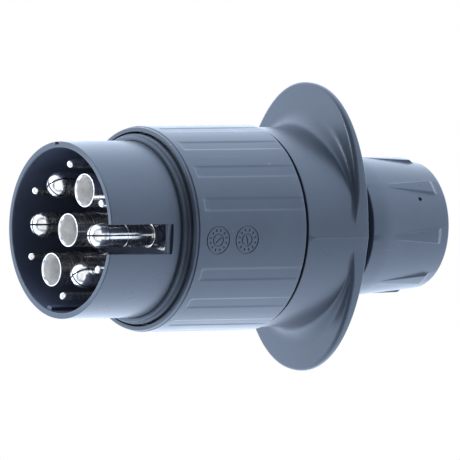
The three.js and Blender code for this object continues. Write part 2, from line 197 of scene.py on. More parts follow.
def cut(obj, cutters, operation="DIFFERENCE"):
    """Cuts the cutters out of obj, or joins them on, and deletes them."""
    for cutter in cutters:
        step = obj.modifiers.new("cut", "BOOLEAN")
        step.operation = operation
        step.solver = "EXACT"
        step.object = cutter
        settle(obj)
        bpy.data.objects.remove(cutter)


def join(objects):
    """One object that holds the meshes of several."""
    bm = bmesh.new()
    for obj in objects:
        bm.from_mesh(obj.data)
        bpy.data.objects.remove(obj)
    mesh = bpy.data.meshes.new("joined")
    bm.to_mesh(mesh)
    bm.free()
    return mesh_object("joined", mesh)


SOFTENED_FROM = 40
SHARP_FROM = 42
NORMAL_WEIGHT = 60


def soften(obj, width):
    """Rounds the sharp edges that cuts have left."""
    step = obj.modifiers.new("edge", "BEVEL")
    step.width = width * MM
    step.segments = 2
    step.limit_method = "ANGLE"
    step.angle_limit = math.radians(SOFTENED_FROM)
    step.use_clamp_overlap = True
    settle(obj)


def smooth(obj):
    """Shades the curved faces smooth, and keeps sharp edges sharp and flat faces flat."""
    obj.data.shade_smooth()
    obj.data.set_sharp_from_angle(angle=math.radians(SHARP_FROM))
    step = obj.modifiers.new("normals", "WEIGHTED_NORMAL")
    step.keep_sharp = True
    step.weight = NORMAL_WEIGHT
    settle(obj)


THREAD_PITCH = 2.0
THREAD_ROWS = 8
THREAD_FLANK = 3.2
THREAD_CREST = 1.4


def helix_rows(x0, x1, core, height, angles):
    """Rows of a screw thread between two stations, run out to nothing at both ends."""
    count = int((x1 - x0) / THREAD_PITCH * THREAD_ROWS)
    rows = []
    for k in range(count + 1):
        x = x0 + (x1 - x0) * k / count
        fade = min(1, (x - x0) / THREAD_PITCH, (x1 - x) / THREAD_PITCH)
        row = []
        for angle in angles:
            phase = (x / THREAD_PITCH - angle / 360) % 1
            ridge = max(0, 1 - abs(phase - 0.5) * THREAD_FLANK)
            row.append(around(x, core + height * fade * min(1, ridge * THREAD_CREST), angle))
        rows.append(row)
    return rows


# ------------------------------------------------------------------------------------------------ materials


GLOSS_TINT = (0.72, 0.83, 1, 1)
DUST = (0.3, 0.33, 0.38, 1)


def node_tools(name):
    """A new node material, its shader, a function that adds a node and one that links two sockets."""
    material = bpy.data.materials.new(name)
    material.use_nodes = True
    nodes = material.node_tree.nodes
    links = material.node_tree.links
    shader = nodes["Principled BSDF"]

    def add(kind, **inputs):
        node = nodes.new(kind)
        for key, value in inputs.items():
            node.inputs[key.replace("_", " ")].default_value = value
        return node

    return material, shader, add, links.new


def ramp(add, link, source, stops):
    """A colour ramp over a value, as (position, colour) stops."""
    node = add("ShaderNodeValToRGB")
    elements = node.color_ramp.elements
    while len(elements) < len(stops):
        elements.new(0.5)
    for element, (position, colour) in zip(elements, stops):
        element.position = position
        element.color = (*colour, 1)
    link(source, node.inputs["Fac"])
    return node.outputs["Color"]


def mapped(add, link, stretch=(1, 1, 1)):
    """Texture coordinates in the object's own metres, stretched along each axis."""
    where = add("ShaderNodeTexCoord")
    scale = add("ShaderNodeMapping")
    scale.inputs["Scale"].default_value = stretch
    link(where.outputs["Object"], scale.inputs["Vector"])
    return scale.outputs["Vector"]


def noise(add, link, where, **settings):
    """The value of a noise texture over mapped coordinates."""
    node = add("ShaderNodeTexNoise", **settings)
    link(where, node.inputs["Vector"])
    return node.outputs["Fac"]


def mixed(add, link, factor, under, over, blend="MIX"):
    """One colour over another by a factor. Each may be a value or another node's output."""
    node = add("ShaderNodeMix")
    node.data_type = "RGBA"
    node.blend_type = blend
    for socket, value in (("Factor", factor), ("A", under), ("B", over)):
        if isinstance(value, bpy.types.NodeSocket):
            link(value, node.inputs[socket])
        else:
            node.inputs[socket].default_value = value
    return node.outputs["Result"]


def bumped(add, link, shader, height, strength, distance):
    """Gives a shader a bump. The distance is in metres."""
    bump = add("ShaderNodeBump", Strength=strength, Distance=distance)
    link(height, bump.inputs["Height"])
    link(bump.outputs["Normal"], shader.inputs["Normal"])


def grey(level):
    return (level, level, level)


def moulded_plastic(name, deep, light, rough=(0.26, 0.36)):
    """Black moulding with cloudy tone, fine grain, hairline scratches and pale specks of dust."""
    material, shader, add, link = node_tools(name)
    where = mapped(add, link)
    cloud = noise(add, link, where, Scale=55.0, Detail=6.0, Roughness=0.6)
    tone = ramp(add, link, cloud, [(0.3, deep), (0.75, light)])

    streaks = noise(add, link, mapped(add, link, (14, 420, 420)), Scale=3.0, Detail=3.0, Distortion=0.4)
    scratch = ramp(add, link, streaks, [(0.7, grey(0)), (0.76, grey(0.3))])
    scuffed = mixed(add, link, scratch, tone, (*[min(1, level * 1.5) for level in light], 1))

    specks = add("ShaderNodeTexVoronoi", Scale=260.0)
    link(where, specks.inputs["Vector"])
    dust = ramp(add, link, specks.outputs["Distance"], [(0.03, grey(0.7)), (0.07, grey(0))])
    patches = noise(add, link, where, Scale=170.0, Detail=2.0)
    dusty_patch = ramp(add, link, patches, [(0.6, grey(0)), (0.68, grey(1))])
    dust = mixed(add, link, 1, dust, dusty_patch, "MULTIPLY")
    link(mixed(add, link, dust, scuffed, DUST), shader.inputs["Base Color"])

    low, high = rough
    matt = ramp(add, link, cloud, [(0.3, grey(low)), (0.7, grey(high))])
    link(matt, shader.inputs["Roughness"])
    grain = noise(add, link, where, Scale=2600.0, Detail=3.0)
    bumped(add, link, shader, grain, 0.05, 0.0002)
    shader.inputs["IOR"].default_value = 1.56
    shader.inputs["Specular Tint"].default_value = GLOSS_TINT
    return material


def rubber(name):
    """Dark seal rubber with a cloudy tone and a faint bump."""
    material, shader, add, link = node_tools(name)
    cloud = noise(add, link, mapped(add, link), Scale=90.0, Detail=5.0)
    tone = ramp(add, link, cloud, [(0.3, (0.07, 0.08, 0.096)), (0.7, (0.09, 0.102, 0.122))])
    link(tone, shader.inputs["Base Color"])
    matt = ramp(add, link, cloud, [(0.3, grey(0.3)), (0.7, grey(0.4))])
    link(matt, shader.inputs["Roughness"])
    bumped(add, link, shader, cloud, 0.08, 0.0002)
    shader.inputs["IOR"].default_value = 1.52
    shader.inputs["Specular Tint"].default_value = GLOSS_TINT
    return material


def turned_metal(name, dark, bright, rough, metallic=1.0):
    """Plated metal with fine lathe marks round the axis and faint handling stains."""
    material, shader, add, link = node_tools(name)
    shader.inputs["Metallic"].default_value = metallic
    stains = noise(add, link, mapped(add, link), Scale=420.0, Detail=4.0)
    tone = ramp(add, link, stains, [(0.35, dark), (0.62, bright)])
    link(tone, shader.inputs["Base Color"])
    lathe = noise(add, link, mapped(add, link, (2600, 120, 120)), Scale=1.0, Detail=3.0)
    low, high = rough
    matt = ramp(add, link, lathe, [(0.35, grey(low)), (0.65, grey(high))])
    link(matt, shader.inputs["Roughness"])
    bumped(add, link, shader, lathe, 0.12, 0.0001)
    return material


BLACK = (0.045, 0.053, 0.066), (0.062, 0.072, 0.09)
BODY_PLASTIC = moulded_plastic("body_plastic", *BLACK)
NOSE_PLASTIC = moulded_plastic("nose_plastic", *BLACK)
# A rougher, lighter and bluer copy of the black moulding for the inside of the nose, the contact carrier and
# the slip washer. The rougher finish is its own. Its extra lightness is painted light that stands in for the
# light reaching into the nose.
PAINTED_LIGHT_INNER_PLASTIC = moulded_plastic("inner_plastic_painted_light", (0.052, 0.06, 0.095), (0.076, 0.088, 0.135), (0.45, 0.6))
SEAL_RUBBER = rubber("seal_rubber")
NICKEL = turned_metal("nickel", (0.58, 0.57, 0.56), (0.85, 0.84, 0.82), (0.14, 0.28))
# The bore nickel is rougher and less metallic than the plated nickel, which is its own brushed finish. It is
# also paler, and that paleness is painted light that brightens the tube bores.
BORE_NICKEL_PAINTED_LIGHT = turned_metal("bore_nickel_painted_light", (0.7, 0.69, 0.68), (0.95, 0.94, 0.92), (0.35, 0.5), 0.6)
ZINC = turned_metal("zinc_steel", (0.42, 0.43, 0.45), (0.62, 0.63, 0.65), (0.28, 0.42))


def place(piece, node, material):
    """Gives a piece its material and body, and hides the CAD node that it stands for."""
    piece.data.materials.clear()
    piece.data.materials.append(material)
    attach(piece, BODY_OF[node])
    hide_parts(node)
    return piece


# --------------------------------------------------------------------------------------------------- pieces


# Nose: the shroud, its keyway, the guide rib inside it and the guide groove outside it
NOSE_R = 20.0
NOSE_BORE_R = 18.6
RIM_DEPTH = 0.3
KEYWAY_HALF = 3.4
KEYWAY_END = 15.9
KEYWAY_STEP = 17.1
KEYWAY_STEP_R = 19.3
GUIDE_RIB_ANGLE = 260
GUIDE_RIB_SPAN = (0.5, 20.6)
GUIDE_RIB_HALF = 0.8
GUIDE_RIB_HEIGHT = 0.75
GUIDE_RIB_SUNK = 0.4
GUIDE_GROOVE_ANGLE = 99
GUIDE_GROOVE_END = 20
GUIDE_GROOVE_HALF = 0.7
GUIDE_GROOVE_DEPTH = 0.7
LIP_SPAN = (20.4, 21.2)
LIP_R = 17.2
SHROUD_FLANGE_SPAN = (27.3, 30.5)
SHROUD_TAIL_R = 19.4
SHROUD_TAIL_BORE_R = 18


def nose_cutters(start):
    """The guide groove along the nose, and the keyway with the shallow step behind it."""
    front = start - OVERCUT
    outside = -NOSE_R - OVERCUT
    groove = block("groove", (front, outside, -GUIDE_GROOVE_HALF),
                   (GUIDE_GROOVE_END, -NOSE_R + GUIDE_GROOVE_DEPTH, GUIDE_GROOVE_HALF), GUIDE_GROOVE_ANGLE)
    key = block("key", (front, outside, -KEYWAY_HALF), (KEYWAY_END, -NOSE_R / 2, KEYWAY_HALF))
    step = block("step", (front, outside, -KEYWAY_HALF), (KEYWAY_STEP, -KEYWAY_STEP_R, KEYWAY_HALF))
    return [groove, key, step]


def front_shroud():
    start, end = span("front_shroud")
    flange_r = radius("front_shroud")
    lip_front, lip_back = LIP_SPAN
    flange_x0, flange_x1 = SHROUD_FLANGE_SPAN
    shroud = turned("nose_shroud", rounded([
        (start, NOSE_BORE_R, 0.35),
        (start, NOSE_R, 0.18),
        (flange_x0, NOSE_R, 0.2),
        (flange_x0, flange_r, 0.2),
        (flange_x1, flange_r, 0.2),
        (flange_x1, SHROUD_TAIL_R, 0.1),
        (end, SHROUD_TAIL_R, 0.3),
        (end, SHROUD_TAIL_BORE_R, 0.2),
        (lip_back, SHROUD_TAIL_BORE_R, 0.1),
        (lip_back, LIP_R, 0.2),
        (lip_front, LIP_R, 0.2),
        (lip_front, NOSE_BORE_R, 0.1),
    ]), steps=NOSE_STEPS)
    rib_front, rib_back = GUIDE_RIB_SPAN
    rib = block("rib", (rib_front, -NOSE_BORE_R - GUIDE_RIB_SUNK, -GUIDE_RIB_HALF),
                (rib_back, -NOSE_BORE_R + GUIDE_RIB_HEIGHT, GUIDE_RIB_HALF), GUIDE_RIB_ANGLE)
    cut(shroud, [rib], "UNION")
    cut(shroud, nose_cutters(start))
    soften(shroud, 0.12)
    smooth(shroud)
    place(shroud, "front_shroud", NOSE_PLASTIC)
    # The faces inside the bore take the lighter copy of the plastic: painted light inside the nose.
    shroud.data.materials.append(PAINTED_LIGHT_INNER_PLASTIC)
    for face in shroud.data.polygons:
        at = face.center / MM
        if at.x > RIM_DEPTH and math.hypot(at.y, at.z) < NOSE_BORE_R + 0.05:
            face.material_index = 1
    return shroud


# Seal ring: a thin bead that reaches a little nearer the nose than the CAD node, then the collar
SEAL_BORE_R = NOSE_R + 0.1
SEAL_LEAD = 0.3
SEAL_BEAD_R = 20.95
SEAL_STEP = 0.8


def nose_seal_ring():
    start, end = span("nose_seal_ring")
    collar_r = radius("nose_seal_ring")
    ring = turned("seal_ring", rounded([
        (start - SEAL_LEAD, SEAL_BORE_R, 0.05),
        (start - SEAL_LEAD, SEAL_BEAD_R, 0.14),
        (start + SEAL_STEP, SEAL_BEAD_R, 0.1),
        (start + SEAL_STEP, collar_r, 0.12),
        (end, collar_r, 0.3),
        (end, SEAL_BORE_R, 0.2),
    ]), steps=NOSE_STEPS)
    smooth(ring)
    return place(ring, "nose_seal_ring", SEAL_RUBBER)


# The sleeve's grooves. The edge is (degrees from the middle, depth share). The run is (millimetres from the
# front of the groove, depth share).
RIB_PITCH = 20
GROOVE_DEPTH = 0.15
GROOVE_START = 23.7
GROOVE_EDGE = [(0, 1), (1.6, 1), (2.5, 1), (2.9, 0.9), (3.25, 0.65), (3.6, 0.35), (3.95, 0.1), (4.4, 0)]
GROOVE_RUN = [(0, 0), (0.15, 0.1), (0.35, 0.75), (0.5, 1), (2, 1), (5, 1), (12, 1), (20, 1), (24, 0.9),
              (27, 0.4)]
GROOVE_AT_END = 0.3

# The sleeve. The band at its front is (millimetres behind the front, height over the ribs, fillet).
SLEEVE_BAND = [(0, -0.25, 0.3), (0.8, -0.22, 0.1), (1.05, 0, 0.12)]
SLEEVE_LIP_R = 21.95
SLEEVE_BORE_R = 21.6
SHOULDER_SPAN = (24.4, 27)
SHOULDER_R = NOSE_R + 0.3

# The date dials: (x of the middle, angle of the pointer), (radius, width) of a ring, and the reach of a mark
DIALS = [(27.2, 40), (35.2, -75)]
DIAL_DEPTH = 0.16
DIAL_OVERCUT = 0.4
DIAL_RINGS = [(3.1, 0.28), (1.35, 0.24)]
DIAL_MARKS = 12
DIAL_MARK_REACH = (1.95, 2.55)
DIAL_MARK_WIDTH = 0.34
DIAL_POINTER_REACH = (-0.9, 0.9)
DIAL_POINTER_WIDTH = 0.3


def sleeve_angles():
    """(angle, groove depth share) round the sleeve, with lines along every groove edge."""
    places = []
    for centre in range(0, 360, RIB_PITCH):
        if centre % 180 == 0:
            places += [(centre + step, 0) for step in range(-15, 16, 3)]
        else:
            places += [(centre - step, depth) for step, depth in reversed(GROOVE_EDGE[1:])]
            places += [(centre + step, depth) for step, depth in GROOVE_EDGE]
            if (centre + RIB_PITCH) % 180:
                places += [(centre + step, 0) for step in (6.5, 8.5, 10, 11.5, 13.5)]
    return sorted(places)


def curved_bar(points, width, deep, high):
    """A closed bar along (x, angle) points on a turned surface, from one radius down to another."""
    corners = ((1, high), (1, deep), (-1, deep), (-1, high))
    rows = []
    for i, (x, angle) in enumerate(points):
        ahead = points[min(i + 1, len(points) - 1)]
        behind = points[max(i - 1, 0)]
        along_bar = Vector((ahead[0] - behind[0], math.radians(ahead[1] - behind[1]) * high)).normalized()
        side = (-along_bar.y * width / 2, math.degrees(along_bar.x * width / 2 / high))
        rows.append([around(x + side[0] * s, r, angle + side[1] * s) for s, r in corners])
    bar = skin("bar", rows, closed=False)
    bm = bmesh.new()
    bm.from_mesh(bar.data)
    bmesh.ops.holes_fill(bm, edges=bm.edges)
    bmesh.ops.recalc_face_normals(bm, faces=bm.faces)
    bm.to_mesh(bar.data)
    bm.free()
    return bar


def dial_point(centre_x, distance, turn, surface_r):
    """A point of a dial on the sleeve: its x and its angle."""
    return centre_x + distance * math.cos(turn), math.degrees(distance * math.sin(turn) / surface_r)


def dial_ring(centre_x, ring_r, width, surface_r, deep, high):
    """The cutter of one ring of a dial."""
    inner = ring_r - width / 2
    outer = ring_r + width / 2
    rows = []
    for i in range(36):
        row = []
        for distance, r in ((inner, deep), (outer, deep), (outer, high), (inner, high)):
            x, angle = dial_point(centre_x, distance, math.radians(10 * i), surface_r)
            row.append(around(x, r, angle))
        rows.append(row)
    return skin("dial_ring", rows)


def date_dial(centre_x, surface_r, pointer):
    """The cutters of a moulded date dial: two rings, twelve marks and a pointer."""
    deep = surface_r - DIAL_DEPTH
    high = surface_r + DIAL_OVERCUT
    cutters = [dial_ring(centre_x, ring_r, width, surface_r, deep, high) for ring_r, width in DIAL_RINGS]
    for i in range(DIAL_MARKS):
        turn = math.radians(30 * i + 15)
        mark = [dial_point(centre_x, distance, turn, surface_r) for distance in DIAL_MARK_REACH]
        cutters.append(curved_bar(mark, DIAL_MARK_WIDTH, deep, high))
    turn = math.radians(pointer)
    needle = [dial_point(centre_x, distance, turn, surface_r) for distance in DIAL_POINTER_REACH]
    cutters.append(curved_bar(needle, DIAL_POINTER_WIDTH, deep, high))
    return cutters


def sleeve_profile(start, end, rib_r):
    """The sleeve's section as (x, r, groove depth share) points."""
    shoulder_front, shoulder_back = SHOULDER_SPAN
    outline = rounded([
        (start, SLEEVE_LIP_R, 0.15),
        *[(start + step, rib_r + rise, fillet) for step, rise, fillet in SLEEVE_BAND],
        (end, rib_r, 0.2),
        (end, SLEEVE_BORE_R, 0.2),
        (shoulder_back, SLEEVE_BORE_R, 0.2),
        (shoulder_back, SHOULDER_R, 0.2),
        (shoulder_front, SHOULDER_R, 0.2),
        (shoulder_front, SLEEVE_LIP_R, 0.2),
    ])
    profile = []
    for (x, r), following in zip(outline, outline[1:] + outline[:1]):
        at_end = x > end - 1 and r > rib_r - 0.5
        profile.append((x, r, GROOVE_AT_END if at_end else 0))
        if r > rib_r - 0.01 and following[0] - x > 10:
            profile += [(GROOVE_START + step, rib_r, share) for step, share in GROOVE_RUN]
    return profile


def union_sleeve():
    start, end = span("union_sleeve")
    rib_r = radius("union_sleeve")
    places = sleeve_angles()
    rows = [[around(x, r - GROOVE_DEPTH * share * dip, angle) for angle, dip in places]
            for x, r, share in sleeve_profile(start, end, rib_r)]
    sleeve = skin("ribbed_sleeve", rows)
    cutters = [cutter for centre_x, pointer in DIALS for cutter in date_dial(centre_x, rib_r, pointer)]
    cut(sleeve, [join(cutters)])
    smooth(sleeve)
    return place(sleeve, "union_sleeve", BODY_PLASTIC)


FLANGE_LOW, FLANGE_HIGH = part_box("rear_housing")
FLANGE_HALF_Y = (FLANGE_HIGH.y - FLANGE_LOW.y) / 2 / MM
FLANGE_HALF_Z = (FLANGE_HIGH.z - FLANGE_LOW.z) / 2 / MM
FLANGE_POWER = 2.15

# The flange's front and back faces, in the middle and at the tips of the ears
FLANGE_ROOT = (65.8, 69.7)
FLANGE_TIP = (67.1, 68.3)

# The blend in front of an ear and the rounded edge round it. Both shrink where the ear hardly stands above
# the barrel.
BLEND_SHARE = 0.41
BLEND_FLAT = 8
BLEND_FADE = 0.4
BLEND_STEPS = 10
EDGE_R = 1.0
EDGE_SHARE = 0.55
EDGE_STEPS = 8
FLUSH_DROP = 0.25
FLUSH_RISE = 0.003
BACK_EDGE = 0.25
BACK_STEPS = 5

# The housing from the barrel to the neck. A mould seam runs along both of its sides.
BARREL_FRONT = 52.75
BARREL_R = 22.65
BARREL_ROWS = (55, 57, 59, 60.5)
CHAMBER_R = 20.5
CHAMBER_END = 65
SPIGOT_R = 21.05
SPIGOT_BORE_R = 19.9
SPIGOT_THREAD = 0.26
NECK_START = 71.2
NECK_R = 12.7
NECK_THREAD = 0.28
NECK_SEAT = 75
NECK_SEAT_R = 10.5
NECK_BORE_R = 8
NECK_ROOT = [(0, 0.5), (0.06, 0.24), (0.18, 0.07), (0.4, 0)]
SEAMS = (0.0, 180.0)
SEAM_HEIGHT = 0.06
SEAM_HALF = 0.35


def oval_radius(angle):
    """The flange's own radius at an angle. Its outline is a little squarer than an ellipse."""
    turn = math.radians(angle)
    across = abs(math.cos(turn) / FLANGE_HALF_Y) ** FLANGE_POWER
    upward = abs(math.sin(turn) / FLANGE_HALF_Z) ** FLANGE_POWER
    return (across + upward) ** (-1 / FLANGE_POWER)


def flange_face(side, r, angle):
    """Where the front (0) or back (1) face of the tapered flange stands, at a radius and an angle."""
    share = abs(r * math.sin(math.radians(angle))) / FLANGE_HALF_Z
    return FLANGE_ROOT[side] + (FLANGE_TIP[side] - FLANGE_ROOT[side]) * share


def flange_front(base, rim, angle):
    """The concave blend, the front face and the rounded front edge of the flange, as (x, r) points."""
    rise = rim - base
    thick = flange_face(1, rim, angle) - flange_face(0, rim, angle)
    hollow = BLEND_SHARE * rise + BLEND_FLAT * math.exp(-rise / BLEND_FADE)
    edge = min(EDGE_R, EDGE_SHARE * thick)
    sweep = math.acos(max(0, 1 - rise / (hollow + edge)))
    foot = flange_face(0, base + hollow * (1 - math.cos(sweep)), angle)
    points = []
    for k in range(BLEND_STEPS + 1):
        turn = sweep * k / BLEND_STEPS
        x = foot + hollow * (math.sin(turn) - math.sin(sweep))
        points.append((x, base + hollow * (1 - math.cos(turn))))
    inner = points[-1][1]
    outer = rim - edge * (1 - math.cos(sweep))
    for share in (0.03, 0.3, 0.6, 0.97):
        r = inner + (outer - inner) * share
        points.append((flange_face(0, r, angle), r))
    head = flange_face(0, outer, angle)
    for k in range(EDGE_STEPS + 1):
        turn = sweep * (1 - k / EDGE_STEPS)
        x = head + edge * (math.sin(sweep) - math.sin(turn))
        points.append((x, rim - edge * (1 - math.cos(turn))))
    return points


def flange_back(rim, angle):
    """The rounded back edge of the flange, its back face and the foot of the neck, as (x, r) points."""
    back = flange_face(1, rim, angle)
    points = []
    for k in range(BACK_STEPS + 1):
        turn = math.radians(90) * k / BACK_STEPS
        points.append((back - BACK_EDGE * (1 - math.sin(turn)), rim - BACK_EDGE * (1 - math.cos(turn))))
    for share in (0.1, 0.5, 0.92):
        r = (rim - BACK_EDGE) * (1 - share) + (NECK_R + 0.6) * share
        points.append((flange_face(1, r, angle), r))
    for forward, out in NECK_ROOT:
        points.append((flange_face(1, NECK_R, angle) + forward, NECK_R + out))
    return points


def flange_section(angle, lift):
    """The outline from the barrel out over the flange to the neck, as (x, r) points."""
    flush = FLUSH_DROP * math.cos(math.radians(angle)) ** 4
    rim = max(oval_radius(angle) - flush, BARREL_R + FLUSH_RISE) + lift
    points = flange_front(BARREL_R + lift, rim, angle)
    points.append(((points[-1][0] + flange_face(1, rim, angle) - BACK_EDGE) / 2, rim))
    return points + flange_back(rim, angle)


def rear_housing():
    start, end = span("rear_housing")
    seam_sides = [(seam + side) % 360 for seam in SEAMS for side in (-SEAM_HALF, SEAM_HALF)]
    angles = sorted([1.5 * i for i in range(240)] + seam_sides)
    lift = {angle: SEAM_HEIGHT if angle in SEAMS else 0 for angle in angles}
    rows = []

    def ring(x, r, seamed=False):
        rows.append([around(x, r + lift[angle] * seamed, angle) for angle in angles])

    def rings(corners):
        for x, r in rounded(corners, closed=False):
            ring(x, r)

    rings([
        (start + 1, SPIGOT_BORE_R, 0),
        (start, SPIGOT_BORE_R, 0.2),
        (start, SPIGOT_R, 0.4),
        (start + 1.5, SPIGOT_R, 0),
    ])
    rows.extend(helix_rows(start + 1.6, BARREL_FRONT - 2.5, SPIGOT_R, SPIGOT_THREAD, angles))
    rings([
        (BARREL_FRONT - 2.4, SPIGOT_R, 0),
        (BARREL_FRONT, SPIGOT_R, 0.15),
        (BARREL_FRONT, BARREL_R, 0.16),
        (BARREL_FRONT + 1, BARREL_R, 0),
    ])
    for x in (BARREL_FRONT + 1.1, *BARREL_ROWS):
        ring(x, BARREL_R, seamed=True)
    for places in zip(*[flange_section(angle, lift[angle]) for angle in angles]):
        rows.append([around(x, r, angle) for angle, (x, r) in zip(angles, places)])
    ring(NECK_START - 0.1, NECK_R)
    rows.extend(helix_rows(NECK_START, end - 1.2, NECK_R, NECK_THREAD, angles))
    rings([
        (end - 1, NECK_R, 0),
        (end, NECK_R, 0.6),
        (end, NECK_SEAT_R, 0.5),
        (NECK_SEAT, NECK_SEAT_R, 0.3),
        (NECK_SEAT, NECK_BORE_R, 0.3),
        (CHAMBER_END, NECK_BORE_R, 0.3),
        (CHAMBER_END, CHAMBER_R, 1.5),
        (BARREL_FRONT + 0.5, CHAMBER_R, 0.3),
        (BARREL_FRONT, SPIGOT_BORE_R, 0.2),
        (start + 2, SPIGOT_BORE_R, 0),
    ])
    housing = skin("flanged_housing", rows)
    smooth(housing)
    return place(housing, "rear_housing", BODY_PLASTIC)


# The nut's grip ridges: their tops as (x, radius), their half widths as (x, millimetres), and one side as
# (millimetres from the edge, share of the height).
RIDGES = 8
RIDGE_TURN = -3.5
RIDGE_LINE = [(81, 15.85), (94.9, 15.38), (95.15, 15.2), (96.3, 14.4)]
RIDGE_HALF = [(81, 0.4), (96.3, 1.8)]
RIDGE_SIDE = [(-0.3, 0), (-0.14, 0.04), (-0.05, 0.18), (0, 0.5), (0.05, 0.82), (0.13, 0.96), (0.26, 1)]
VALLEY_STEPS = 5
CONE_ROWS = [81, 82, 83, 84, 85.5, 87, 88.5, 90, 91.5, 93, 94, 94.6, 94.9, 95.02, 95.15, 95.4, 95.7, 96, 96.3,
             97]
COLLAR_END = 80
NUT_END_R = 14.4
NUT_BORE_R = 13.3
NUT_HOLE_R = 7.4
NUT_WALL = 93.3

# The small moulding pit between two ridges
PIT_X = 90.6
PIT_ANGLE = 29.6
PIT_R = (0.45, 0.5)
PIT_DEPTH = 0.5


def height_at(line, x):
    """The height of a broken line at x. It keeps its end heights beyond its ends."""
    if x <= line[0][0]:
        return line[0][1]
    for (x0, y0), (x1, y1) in zip(line, line[1:]):
        if x <= x1:
            return y0 + (y1 - y0) * (x - x0) / (x1 - x0)
    return line[-1][1]


def nut_row(x, r, outside):
    """The nut's outline at x. On the outside it carries the grip ridges where they stand above the cone."""
    ridged = outside and RIDGE_LINE[0][0] <= x <= RIDGE_LINE[-1][0]
    rise = max(0, height_at(RIDGE_LINE, x) - r) if ridged else 0
    half = height_at(RIDGE_HALF, x)
    pitch = 360 / RIDGES
    row = []
    for k in range(RIDGES):
        centre = pitch * k + RIDGE_TURN
        flank = [(math.degrees((offset - half) / r), share) for offset, share in RIDGE_SIDE]
        start = -pitch / 2
        valley = [(start + (flank[0][0] - start) * i / VALLEY_STEPS, 0) for i in range(VALLEY_STEPS)]
        left = valley + flank
        for turn, share in left + [(0, 1)] + [(-turn, share) for turn, share in reversed(left)][:-1]:
            row.append(around(x, r + rise * share, centre + turn))
    return row


def moulding_pit(surface_r):
    """The cutter of the pit, standing in the surface of the nut."""
    inner_r, outer_r = PIT_R
    profile = rounded([
        (-PIT_DEPTH, 0, 0),
        (-PIT_DEPTH, inner_r, 0.1),
        (PIT_DEPTH, outer_r, 0.1),
        (PIT_DEPTH, 0, 0),
    ], closed=False)
    pit = turned("pit", profile, False, HOLE_STEPS)
    pit.data.transform(Matrix.Rotation(math.radians(90), 4, "Z"))
    pit.data.transform(Matrix.Translation(Vector((PIT_X, -surface_r, 0)) * MM))
    pit.data.transform(Matrix.Rotation(-math.radians(PIT_ANGLE), 4, "X"))
    return pit


def gland_nut():
    start, end = span("gland_nut")
    collar_r = radius("gland_nut")
    cone = [(COLLAR_END, collar_r), (end, NUT_END_R)]
    outline = rounded([
        (start, NUT_BORE_R, 0.2),
        (start, collar_r, 0.35),
        (COLLAR_END - 1.2, collar_r, 0),
        (COLLAR_END, collar_r - 0.03, 0),
        (COLLAR_END + 0.5, height_at(cone, COLLAR_END + 0.5) - 0.02, 0),
        *[(x, height_at(cone, x), 0) for x in CONE_ROWS],
        (end, NUT_END_R, 0.5),
        (end, NUT_HOLE_R, 0.6),
        (NUT_WALL, NUT_HOLE_R, 0.3),
        (NUT_WALL, NUT_BORE_R, 0.8),
    ])
    nut = skin("gland_cap", [nut_row(x, r, r > NUT_BORE_R + 0.5) for x, r in outline])
    cut(nut, [moulding_pit(height_at(cone, PIT_X))])
    smooth(nut)
    return place(nut, "gland_nut", BODY_PLASTIC)


WASHER_BORE_R = 7
LOCK_RING_BORE_R = 16.7


def flat_ring(name, node, bore_r, edges):
    """A flat ring in the place of a CAD node, with an edge radius at each of its four corners."""
    start, end = span(node)
    outer_r = radius(node)
    corners = ((start, bore_r), (start, outer_r), (end, outer_r), (end, bore_r))
    ring = turned(name, rounded([(x, r, edge) for (x, r), edge in zip(corners, edges)]))
    smooth(ring)
    return ring


def slip_washer():
    ring = flat_ring("slip_ring", "slip_washer", WASHER_BORE_R, (0.2, 0.25, 0.25, 0.2))
    return place(ring, "slip_washer", PAINTED_LIGHT_INNER_PLASTIC)


def carrier_lock_ring():
    ring = flat_ring("lock_ring", "carrier_lock_ring", LOCK_RING_BORE_R, (0.15, 0.2, 0.2, 0.15))
    return place(ring, "carrier_lock_ring", ZINC)


GROMMET_BORE_R = 5.5
GROMMET_ROWS = 40
GROMMET_RIB = 0.22
GROMMET_RIB_ROWS = 8


def cable_grommet():
    start, end = span("cable_grommet")
    outer = radius("cable_grommet")
    outside = [(start, GROMMET_BORE_R, 0.5), (start, outer, 0.9), (end, outer, 0.5)]
    inside = [(end - 0.2, GROMMET_BORE_R + 1.0)]
    for k in range(GROMMET_ROWS + 1):
        x = end - 0.8 - (end - start - 1.6) * k / GROMMET_ROWS
        wave = math.cos(2 * math.pi * k / GROMMET_RIB_ROWS)
        inside.append((x, GROMMET_BORE_R + GROMMET_RIB - GROMMET_RIB * wave))
    grommet = turned("cable_seal", rounded(outside, closed=False) + inside)
    smooth(grommet)
    return place(grommet, "cable_grommet", SEAL_RUBBER)


def housing_o_ring():
    start, end = span("housing_o_ring")
    section = (end - start) / 2
    centre_r = radius("housing_o_ring") - section
    circle = [math.radians(360 * k / 16) for k in range(16)]
    outline = [(start + section + section * math.cos(t), centre_r + section * math.sin(t)) for t in circle]
    ring = turned("o_ring", outline)
    smooth(ring)
    return place(ring, "housing_o_ring", SEAL_RUBBER)


# The large contacts in the order of their terminal screws, and the turn of each split pin's cross
LARGE = [f"split_pin_{i}" for i in range(1, 5)] + [f"socket_tube_{i}" for i in range(1, 4)]
SMALL = [f"small_pin_{i}" for i in range(1, 7)]
SPLIT_TURNS = {"split_pin_1": 6, "split_pin_2": 36, "split_pin_3": 6, "split_pin_4": 36}
LARGE_DRILL_R = 2.65
SMALL_DRILL_R = 1.25

